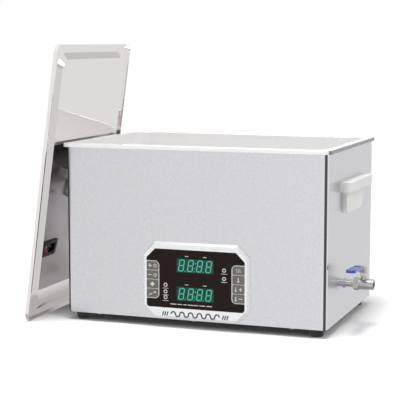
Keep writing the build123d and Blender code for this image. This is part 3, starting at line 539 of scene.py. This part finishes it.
def icon_bubbles(bm, x, z, y):
    for dx, dz in ((-0.0024, 0), (0.0024, 0), (0, -0.0024), (0, 0.0024)):
        disc(bm, x + dx, z + dz, 0.0018, y)
    disc(bm, x, z, 0.0014, y)


def icon_degas(bm, x, z, y):
    """Two slanted strokes beside a small peak."""
    for dx, dz in ((-0.0054, -0.0024), (-0.0018, -0.0012)):
        bar(bm, x + dx - 0.0017, z + dz - 0.0018, x + dx + 0.0017, z + dz + 0.0018, 0.0013, y)
    peak = [(x + 0.0020, z + 0.0010), (x + 0.0076, z + 0.0010), (x + 0.0048, z + 0.0048)]
    plate(bm, peak, y, PRINT_DEPTH)


def icon_wave(bm, x, z, y):
    """Three S-shaped strokes, each of two arcs."""
    for dx in (-0.0034, 0, 0.0034):
        for side, dz, start in ((0.0012, 0.0018, 110), (-0.0012, -0.0014, -70)):
            ring(bm, x + dx + side, z + dz, 0.0019, 0.0009, y, start=math.radians(start),
                 sweep=math.radians(140))


def icon_thermometer(bm, x, z, y):
    disc(bm, x, z - 0.0026, 0.0020, y)
    bar(bm, x, z - 0.0026, x, z + 0.0042, BOLD, y)


# The icons of each key, with their places across it.
KEY_MARKS = {
    1: ((icon_plus, -0.005), (icon_clock, 0.0055)),
    2: ((icon_minus, -0.005), (icon_clock, 0.0055)),
    3: ((icon_bubbles, 0.0),),
    4: ((icon_degas, 0.0),),
    5: ((icon_wave, 0.0),),
    6: ((icon_thermometer, 0.0),),
    7: ((icon_thermometer, -0.0050), (icon_plus, 0.0045)),
    8: ((icon_thermometer, -0.0050), (icon_minus, 0.0045)),
}


def key_marks(bm, number):
    node = f"key_{number}"
    middle = centre(node)
    for icon, dx in KEY_MARKS[number]:
        icon(bm, middle.x + dx, middle.z, front_of(node))


for number in KEY_MARKS:
    mesh_piece(f"key_{number}_mark", lambda bm, n=number: key_marks(bm, n), PRINT,
               f"key_{number}")


def lamp_spots():
    """Centres of the five lamps, found from the loose parts of their node."""
    mesh = nodes["indicator_leds"].data
    front = front_of("indicator_leds") + 0.0001
    seen = []
    for vert in mesh.vertices:
        if vert.co.y < front:
            spot = Vector((vert.co.x, vert.co.z))
            group = next((g for g in seen if (g[0] - spot).length < 0.006), None)
            if group is None:
                seen.append([spot])
            else:
                group.append(spot)
    return [sum(g, Vector((0, 0))) / len(g) for g in seen]


LAMP_RING_R = 0.0031
LAMP_RING_STROKE = 0.0014
LAMP_RING_DEPTH = 0.0003
LAMP_CAPTION_HALF = 0.0060
LAMP_CAPTION_DROP = 0.0066


def lamp_rings(bm):
    """A ring round each lamp and a caption bar under it."""
    y = front_of("display_window")
    for spot in lamp_spots():
        ring(bm, spot.x, spot.y, LAMP_RING_R, LAMP_RING_STROKE, y, LAMP_RING_DEPTH)
        z = spot.y - LAMP_CAPTION_DROP
        bar(bm, spot.x - LAMP_CAPTION_HALF, z, spot.x + LAMP_CAPTION_HALF, z, FINE, y)


CAPTION_SHARES = (0.27, 0.76)
CAPTION_HALF = 0.0035
CAPTION_RISE = 0.0045
CAPTION_STROKE = 0.0010
DASHES = (0.012, 0.009, 0.007, 0.021, 0.012, 0.011)
DASH_GAP = 0.0024
DASH_STROKE = 0.0013
DASH_RISE = 0.0078
DASH_START = -0.0500


def window_marks(bm):
    """Short caption bars over the displays, and a row of dashes along the window's foot."""
    y = front_of("display_window")
    for node in ("display_upper", "display_lower"):
        low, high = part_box(node)
        z = high[2] + CAPTION_RISE
        for share in CAPTION_SHARES:
            x = low[0] + share * (high[0] - low[0])
            bar(bm, x - CAPTION_HALF, z, x + CAPTION_HALF, z, CAPTION_STROKE, y)
    low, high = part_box("display_window")
    x = (low[0] + high[0]) / 2 + DASH_START
    z = low[2] + DASH_RISE
    for length in DASHES:
        bar(bm, x, z, x + length, z, DASH_STROKE, y)
        x += length + DASH_GAP


mesh_piece("lamp_rings", lamp_rings, PRINT, "casing")
mesh_piece("window_marks", window_marks, PRINT, "casing")


MARKS_RISE = 0.0095
SLANT_START = 0.0560
SLANT_PITCH = 0.0044
SLANT_HALF_W = 0.0013
SLANT_HALF_H = 0.0040
SLANT_STROKE = 0.0024
RIPPLE_R = 0.0044
RIPPLE_STROKE = 0.0027
RIPPLE_ARCS = 11


def bezel_marks(bm):
    """Slanted strokes and a ripple on the bezel's lower band."""
    low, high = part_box("control_bezel")
    y = low[1]
    x = (low[0] + high[0]) / 2
    z = low[2] + MARKS_RISE
    for side in (-1, 1):
        for step in range(3):
            sx = x + side * (SLANT_START + step * SLANT_PITCH)
            bar(bm, sx - SLANT_HALF_W, z - SLANT_HALF_H, sx + SLANT_HALF_W, z + SLANT_HALF_H,
                SLANT_STROKE, y)
    for step in range(RIPPLE_ARCS):
        sx = x + (step - RIPPLE_ARCS // 2) * 2 * RIPPLE_R
        ring(bm, sx, z, RIPPLE_R, RIPPLE_STROKE, y, start=math.pi * (step % 2), sweep=math.pi,
             count=16)


mesh_piece("bezel_marks", bezel_marks, INK, "casing")


# ---------------------------------------------------------------- floor, light and camera


def direct_reflection(tree):
    """One on a mirror reflection, less if its ray met a matt surface on its way, else zero."""
    rays = tree.nodes.new("ShaderNodeLightPath")
    matt = spread(tree, rays.outputs["Diffuse Depth"], 0.0, 1.0, 1.0, MATT_SHARE)
    return combine(tree, "MULTIPLY", rays.outputs["Is Glossy Ray"], matt)


def make_floor():
    """A white floor that mirror reflections pass through, except between lid and casing."""
    bm = bmesh.new()
    bmesh.ops.create_circle(bm, cap_ends=True, segments=128, radius=FLOOR_RADIUS)
    mesh = bpy.data.meshes.new("floor")
    bm.to_mesh(mesh)
    bm.free()
    floor = bpy.data.objects.new("floor", mesh)
    floor.location = (0, 0, -FLOOR_DROP)
    bpy.context.collection.objects.link(floor)
    mat, shader = new_material("floor_white", FLOOR_WHITE, 0.6)
    shader.inputs["Specular IOR Level"].default_value = 0.0
    tree = mat.node_tree
    place = axes(tree, "Object")
    open_floor = None
    for axis, shaded, clear in CLEAR_OF_LID:
        part = spread(tree, place[axis], shaded, clear)
        if open_floor is None:
            open_floor = part
        else:
            open_floor = combine(tree, "MAXIMUM", open_floor, part)
    shade = add(mat, "ShaderNodeEmission")
    shade.inputs["Color"].default_value = (*SHADED_FLOOR, 1)
    through = add(mat, "ShaderNodeBsdfTransparent")
    mirrored = mix_shaders(tree, open_floor, shade, through)
    seen = mix_shaders(tree, direct_reflection(tree), shader, mirrored)
    link(mat, seen, 0, tree.nodes["Material Output"], "Surface")
    mesh.materials.append(mat)


def area_light(name, place, aim, width, power):
    data = bpy.data.lights.new(name, "AREA")
    data.shape = "RECTANGLE"
    data.size = data.size_y = width
    data.energy = power
    lamp = bpy.data.objects.new(name, data)
    lamp.location = place
    lamp.rotation_euler = (Vector(aim) - Vector(place)).to_track_quat("-Z", "Y").to_euler()
    bpy.context.collection.objects.link(lamp)


def background(tree, strength=1.0):
    node = tree.nodes.new("ShaderNodeBackground")
    node.inputs["Color"].default_value = (1, 1, 1, 1)
    node.inputs["Strength"].default_value = strength
    return node


def make_world():
    """A white studio: plain white to the camera, a sky to matt surfaces, panels to mirrors."""
    world = bpy.data.worlds.new("studio")
    bpy.context.scene.world = world
    world.use_nodes = True
    tree = world.node_tree
    tree.nodes.clear()
    toward = axes(tree, "Generated")

    flip = combine(tree, "MULTIPLY", toward["Y"])
    flip.node.inputs[1].default_value = -1
    turn = combine(tree, "ARCTAN2", toward["X"], flip)
    ramp = tree.nodes.new("ShaderNodeValToRGB")
    elements = ramp.color_ramp.elements
    while len(elements) < len(STUDIO):
        elements.new(0.5)
    for element, (degrees, value) in zip(elements, STUDIO):
        element.position = (degrees + 180) / 360
        element.color = (value, value, value, 1)
    tree.links.new(spread(tree, turn, -math.pi, math.pi), ramp.inputs["Fac"])

    skyline = combine(tree, "MULTIPLY", spread(tree, toward["Z"], *SKYLINE_RISE),
                      spread(tree, toward["X"], *SKYLINE_RIGHT))
    colour = tint(tree, skyline, ramp.outputs["Color"], (SKYLINE_GREY,) * 3, "MULTIPLY")
    colour = tint(tree, spread(tree, toward["Z"], *TOP_RISE), colour, (TOP_GREY,) * 3)
    colour = tint(tree, spread(tree, toward["Z"], *BELOW_FALL), colour, (BELOW_GREY,) * 3)
    studio = background(tree, STUDIO_STRENGTH)
    tree.links.new(colour, studio.inputs["Color"])

    sky = background(tree)
    glow = spread(tree, toward["Z"], *SKY_RISE, 0.0, SKY_STRENGTH)
    tree.links.new(glow, sky.inputs["Strength"])
    rays = tree.nodes.new("ShaderNodeLightPath")
    lit = mix_shaders(tree, direct_reflection(tree), sky, studio)
    seen = mix_shaders(tree, rays.outputs["Is Camera Ray"], lit, background(tree))
    out = tree.nodes.new("ShaderNodeOutputWorld")
    tree.links.new(seen.outputs[0], out.inputs["Surface"])


def make_camera():
    data = bpy.data.cameras.new("camera")
    data.lens = CAMERA_LENS
    data.sensor_width = SENSOR_WIDTH
    data.clip_end = 50.0
    camera = bpy.data.objects.new("camera", data)
    back = Vector((math.sin(CAMERA_YAW) * math.cos(CAMERA_PITCH),
                   -math.cos(CAMERA_YAW) * math.cos(CAMERA_PITCH), math.sin(CAMERA_PITCH)))
    camera.location = CAMERA_AIM + back * CAMERA_DISTANCE
    camera.rotation_euler = (-back).to_track_quat("-Z", "Y").to_euler()
    bpy.context.collection.objects.link(camera)
    bpy.context.scene.camera = camera


make_floor()
make_world()
for light in LIGHTS:
    area_light(*light)
make_camera()
bpy.context.scene.view_settings.view_transform = "Standard"
bpy.context.scene.view_settings.look = "None"
